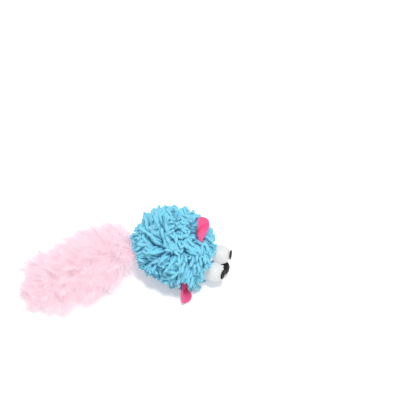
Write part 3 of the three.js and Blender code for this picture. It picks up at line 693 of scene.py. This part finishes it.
for name, side, node in (("pile_back", 1, "cover_back"), ("pile_belly", -1, "cover_belly")):
    # The cloth: half a ball, cut at the seam and given its wall
    start_piece()
    bpy.ops.mesh.primitive_uv_sphere_add(segments=cloth_segments, ring_count=cloth_rings,
                                         radius=1, location=(0, 0, 0))
    cloth = bpy.context.object
    bpy.ops.object.mode_set(mode="EDIT")
    bpy.ops.mesh.select_all(action="SELECT")
    bpy.ops.mesh.bisect(plane_co=(0, 0, 0), plane_no=(0, 0, 1),
                        clear_inner=side > 0, clear_outer=side < 0)
    bpy.ops.object.mode_set(mode="OBJECT")
    ways = unit(np.array([v.co for v in cloth.data.vertices]))
    places = np.array(body_centre) + ways * fabric_reach(ways)[:, None]
    places[:, 2] += side * seam_gap
    for vertex, place in zip(cloth.data.vertices, places):
        vertex.co = place
    wall = cloth.modifiers.new("wall", "SOLIDIFY")
    wall.thickness = cover_wall
    wall.offset = -1
    bpy.ops.object.modifier_apply(modifier="wall")
    cloth_quads, cloth_triangles = (
        np.array([p.vertices for p in cloth.data.polygons if len(p.vertices) == corners])
        for corners in (4, 3))
    cloth_points = np.array([v.co for v in cloth.data.vertices])
    bpy.data.objects.remove(cloth, do_unlink=True)
    strands = tuft_points[kept & (tuft_ways[:, 2] * side > 0)]
    first = len(cloth_points) + np.arange(len(strands))[:, None, None] * len(noodle_points)
    points = np.vstack([cloth_points, settle(strands.reshape(-1, 3), pile_splay)])
    quads = np.vstack([cloth_quads, (noodle_quads + first).reshape(-1, 4)])
    triangles = np.vstack([cloth_triangles, (noodle_fans + first).reshape(-1, 3)])
    panel = mesh_piece(name, points, quads, triangles)
    finish_piece(panel, name, "body", pile, node)

# Threads and strings: sewing thread in the seam, at the ears and round the feathers' butts, and
# the knotted cotton string in the tail. The twist of the plies shows as slanting bands.
ply_depth = 0.15 * mm
sewing_plies = 400
string_plies = 300


def thread(name, dark, pale, plies_per_metre):
    """A thread's material, in two tones that follow its twist."""
    material, wire = new_material(name)
    place = wire.node("ShaderNodeTexCoord", output="Object")
    bands = wire.node("ShaderNodeTexWave", {"Vector": place, "Scale": plies_per_metre,
                                            "Distortion": 1.5, "Detail": 1.0},
                      output="Fac", bands_direction="DIAGONAL")
    colour = mixed(wire, bands, linear(*dark), linear(*pale))
    return surface(material, wire, colour, roughness=0.8, bump=bands, bump_depth=ply_depth,
                   constants={"Specular IOR Level": 0.3})


blue_thread = thread("blue_sewing_thread", (48, 138, 182), (92, 182, 220), sewing_plies)
pink_thread = thread("pink_sewing_thread", (190, 52, 104), (226, 92, 144), sewing_plies)
rose_thread = thread("rose_winding_thread", (214, 146, 176), (244, 190, 212), sewing_plies)
pink_string = thread("pink_cotton_string", (240, 198, 214), (252, 224, 235), string_plies)

# Inside: two wads of polyester stuffing, and a cotton pouch of dried catnip between them; and the
# clear glue that holds the eyes and the nose
stuffing, wire = new_material("polyester_stuffing")
fluff = noise(wire, per_metre=500, detail=5, rough=0.7)
fluff_white = mixed(wire, fluff, linear(222, 222, 216), linear(250, 250, 246))
surface(stuffing, wire, fluff_white, roughness=1.0, bump=fluff, bump_depth=0.8 * mm)
cotton, wire = new_material("cotton_pouch")
place = wire.node("ShaderNodeTexCoord", output="Object")
weave = wire.node("ShaderNodeTexChecker", {"Scale": 1400, "Vector": place}, output="Fac")
cotton_cream = mixed(wire, weave, linear(226, 219, 200), linear(240, 235, 220))
surface(cotton, wire, cotton_cream, roughness=0.9, bump=weave, bump_depth=0.08 * mm)
herb, wire = new_material("dried_catnip")
place = wire.node("ShaderNodeTexCoord", output="Object")
flakes = wire.node("ShaderNodeTexVoronoi", {"Scale": 700, "Vector": place})
herb_green = mixed(wire, flakes, linear(70, 80, 36), linear(150, 158, 92))
surface(herb, wire, herb_green, roughness=1.0, bump=flakes, bump_depth=0.5 * mm)
glue, wire = new_material("dried_glue")
beads = noise(wire, per_metre=300, detail=2, rough=0.5)
glue_grey = mixed(wire, beads, linear(206, 212, 214), linear(232, 236, 238))
surface(glue, wire, glue_grey, roughness=0.25 + 0.2 * beads, bump=beads, bump_depth=0.1 * mm,
        constants={"Alpha": 0.9, "Coat Weight": 0.3})

# The pieces that stay as their solids, by slot and material
kept_solids = (
    ("blue_thread", blue_thread, ("seam_thread", "tail_anchor")),
    ("ear_thread", pink_thread, ("ear_stitch_left", "ear_stitch_right")),
    ("binding_thread", rose_thread, ("tail_binding",)),
    ("tail_string", pink_string, ("tail_string_base", "tail_string_mid", "tail_string_tip",
                                  "tail_knot", "tail_end_knot")),
    ("stuffing", stuffing, ("stuffing_upper", "stuffing_lower")),
    ("pouch_cloth", cotton, ("pouch_upper", "pouch_lower")),
    ("catnip", herb, ("catnip_fill",)),
    ("glue", glue, ("eye_glue_left", "eye_glue_right", "nose_glue")),
)
for slot, material, nodes in kept_solids:
    for node in nodes:
        solid = frame["nodes"][node]
        solid.data.materials.clear()
        solid.data.materials.append(material)

# Tail plume. Real marabou: short feathers tied on a string, each a fine quill with long soft barbs
# on both sides. The quills are too fine to show. Every barb is a thin closed three-sided thread
# that tapers to a point and lets some light through.
barb_rings = 4
barb_sides = 3
barb_radius = 0.11 * mm
barb_taper_share = 0.75
barb_spread = 0.95
barb_spread_stray = 0.16
barb_stray = 0.22
barb_turn_share = 0.5
barb_stray_growth = 1.3
barb_reach_shares = (0.4, 1.15)
long_barb_chance = 0.12
long_barb_share = 1.2
quill_steps = 90
quill_bend_share = 0.7
vane_start = 0.25
vane_turn = 2.9
vane_end = 3.0
vane_fullness = 0.6
plume_height_share = 0.95
vane_roll = 1.4
vane_tilt = 0.3
upright = np.array([0, 0, 1.0])
nearly_straight = 1e-6
feather_colour = linear(255, 241, 245)
feather_deep = linear(255, 236, 243)
feather_painted_glow = 0.235
through_colour = (1.0, 0.93, 0.955)
through_share = 0.45
down, wire = new_material("marabou_down")
streak = noise(wire, per_metre=160, detail=3, rough=0.6)
streak_share = ranged(wire, streak, low=0.35, high=0.65)
tinted = mixed(wire, streak_share, feather_colour, feather_deep)
# Besides letting light through, the down glows a little in its own colour: painted light that lifts
# the shade among its barbs.
threads = wire.node("ShaderNodeBsdfPrincipled", {
    "Base Color": tinted, "Roughness": 0.9, "Specular IOR Level": 0.2,
    "Emission Color": tinted, "Emission Strength": feather_painted_glow})
through = wire.node("ShaderNodeBsdfTranslucent", {"Color": through_colour})
feather = wire.node("ShaderNodeMixShader", {0: through_share, 1: threads, 2: through})
wire.node("ShaderNodeOutputMaterial", {"Surface": feather})


def vane_width(q):
    """How long barbs are along a quill, as a share of the longest: short at both its ends."""
    return np.sin(np.clip(q * vane_turn + vane_start, 0, vane_end)) ** vane_fullness


def feathers(starts, string_ways, lengths, leans, turns, barb_lengths, rng):
    """Barbs of feathers: each feather's quill leaves the string at a lean, on a turn about it."""
    count = len(starts)
    side = unit(np.cross(string_ways, upright))
    rise = np.cross(side, string_ways)
    outward = side * np.cos(turns)[:, None] + plume_height_share * rise * np.sin(turns)[:, None]
    q = (np.arange(quill_steps) + 0.5) / quill_steps
    # The quill starts steep and bends back along the string
    leave, bent = (outward * np.sin(lean)[:, None] + string_ways * np.cos(lean)[:, None]
                   for lean in (leans, leans * quill_bend_share))
    s = q[None, :, None]
    run = s * (1 - s / 2) * leave[:, None] + s * s / 2 * bent[:, None]
    quill = starts[:, None] + lengths[:, None, None] * run
    heading = unit(leave[:, None] * (1 - s) + bent[:, None] * s)
    # The vane's plane turns a little from feather to feather
    roll = rng.uniform(-vane_roll, vane_roll, count)
    flat = unit(np.cross(leave, outward + vane_tilt * rise))
    lift = np.cross(flat, leave)
    vane = (flat * np.cos(roll)[:, None] + lift * np.sin(roll)[:, None])[:, None]
    barbs = []
    for hand in (-1, 1):
        spread = rng.normal(barb_spread, barb_spread_stray, (count, quill_steps))[:, :, None]
        stray = rng.normal(0, barb_stray, (count, quill_steps, 3))
        reach = barb_lengths[:, None] * vane_width(q)
        reach = reach * rng.uniform(*barb_reach_shares, (count, quill_steps))
        is_long = rng.uniform(0, 1, reach.shape) < long_barb_chance
        reach = np.where(is_long, reach * long_barb_share, reach)
        go = unit(heading * np.cos(spread) + hand * vane * np.sin(spread) + stray)
        back = unit(heading + barb_turn_share * hand * vane + stray * barb_stray_growth)
        barbs.append((quill, go, back, reach))
    base, go, back = (np.concatenate([barb[k].reshape(-1, 3) for barb in barbs]) for k in range(3))
    reach = np.concatenate([barb[3].reshape(-1) for barb in barbs])
    return base, go, back, reach


def barb_mesh(name, base, go, back, reach):
    """Closed threads: rings of points that taper, and a point at the tip."""
    count = len(base)
    cross = np.cross(go, back)
    bends = np.linalg.norm(cross, axis=1, keepdims=True) > nearly_straight
    cross = np.where(bends, unit(cross), upright)
    other = unit(np.cross(go, cross))
    rings = []
    for k in range(barb_rings + 1):
        t = k / barb_rings
        middle = base + reach[:, None] * (go * (t - t * t / 2) + back * (t * t / 2))
        if k == barb_rings:
            rings.append(middle[:, None])
            continue
        thin = barb_radius * (1 - barb_taper_share * t)
        for side in range(barb_sides):
            turn = 2 * math.pi * side / barb_sides
            rings.append((middle + thin * (math.cos(turn) * cross + math.sin(turn) * other))[:, None])
    points = settle(np.concatenate(rings, axis=1).reshape(-1, 3))
    quads = []
    for ring in range(0, barb_sides * (barb_rings - 1), barb_sides):
        for j in range(barb_sides):
            m = (j + 1) % barb_sides
            quads.append((ring + j, ring + m, ring + barb_sides + m, ring + barb_sides + j))
    last = barb_sides * (barb_rings - 1)
    tip = barb_sides * barb_rings
    triangles = [(last + j, last + (j + 1) % barb_sides, tip) for j in range(barb_sides)]
    triangles.append((0, 2, 1))
    first = (np.arange(count) * (tip + 1))[:, None, None]
    return mesh_piece(name, points, (np.array(quads) + first).reshape(-1, 4),
                      (np.array(triangles) + first).reshape(-1, 3))


# One plume rides on each stretch of the string. Its feathers are the same kind all along, but
# shorter at the tail's root and at its tip.
string_route = [joint_at["tail_swing"], joint_at["tail_bend_mid"], joint_at["tail_bend_tip"],
                np.array(node_middle("tail_end_knot"))]
plume_plan = (
    # plume, where its feathers start and end on the stretch, how many, quill and barb length, the
    # body it rides on and the next one
    ("base", 0.05, 1.0, 130, 29 * mm, 15 * mm, "tail_base", "tail_mid"),
    ("mid", 0.0, 1.0, 110, 29 * mm, 15 * mm, "tail_mid", "tail_tip"),
    ("tip", 0.0, 0.85, 90, 19 * mm, 12 * mm, "tail_tip", None),
)
plume_layers = ("a", "b", "c")
plume_seed = 100
string_slope_share = 0.5
side_gather = 0.35
root_length_share = 0.52
root_growth_share = 1.2
tip_loss_share = 0.5
quill_length_shares = (0.62, 1.1)
upright_length_share = 0.85
sideways_growth_share = 0.25
long_feather_chance = 0.05
long_feather_share = 1.2
barb_length_shares = (0.8, 1.15)
feather_leans = (0.95, 1.7)
root_lean_share = 0.7
push_start = 1.3
push_end_share = 0.3
push_length_share = 0.45
push_lean = 0.6
near_swell_share = 0.3
near_swell_place_share = 0.52
near_swell_spread_share = 0.16
bend_reach = 8 * mm
for stretch, row in enumerate(plume_plan):
    word, begin, end, count, quill_length, barb_length, body, next_body = row
    rng = np.random.default_rng(plume_seed + stretch)
    start_at, end_at = string_route[stretch], string_route[stretch + 1]
    share = np.sort(rng.uniform(begin, end, count))
    starts = start_at + (end_at - start_at) * share[:, None]
    way = end_at - start_at
    way[2] *= string_slope_share
    way = unit(way)
    turns = rng.uniform(0, 2 * math.pi, count)
    turns -= side_gather * np.sin(2 * turns)
    grow = np.ones(count)
    if word == "base":
        grow = np.clip(share * root_growth_share + root_length_share, 0, 1)
    if word == "tip":
        grow = 1 - tip_loss_share * share
    lengths = quill_length * rng.uniform(*quill_length_shares, count) * grow
    lengths *= upright_length_share + sideways_growth_share * np.abs(np.cos(turns))
    is_long = rng.uniform(0, 1, count) < long_feather_chance
    lengths = np.where(is_long, lengths * long_feather_share, lengths)
    leans = rng.uniform(*feather_leans, count) * (root_lean_share + (1 - root_lean_share) * grow)
    if word == "base":
        # Next to the body the feathers are pushed over to the far side
        pushed = np.cos(turns) * np.clip(push_start - share / push_end_share, 0, 1)
        lengths *= 1 + push_length_share * pushed
        leans += push_lean * np.maximum(pushed, 0)
        # On the near side they stand out most behind the root
        swelled = np.exp(-((share - near_swell_place_share) / near_swell_spread_share) ** 2)
        lengths *= 1 + near_swell_share * np.maximum(-np.cos(turns), 0) * swelled
    barb_lengths = barb_length * rng.uniform(*barb_length_shares, count) * grow
    base, go, back, reach = feathers(starts, np.tile(way, (count, 1)), lengths, leans, turns,
                                     barb_lengths, rng)
    parts = np.array_split(np.arange(len(base)), len(plume_layers))
    for layer, part in zip(plume_layers, parts):
        piece = barb_mesh(f"plume_{word}_{layer}", base[part], go[part], back[part], reach[part])
        piece.data.materials.append(down)
        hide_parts(f"plume_{word}")
        if next_body:
            tuple(end_at - way * bend_reach)
            tuple(end_at + way * bend_reach)
            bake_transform(piece)
        else:
            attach(piece, body)
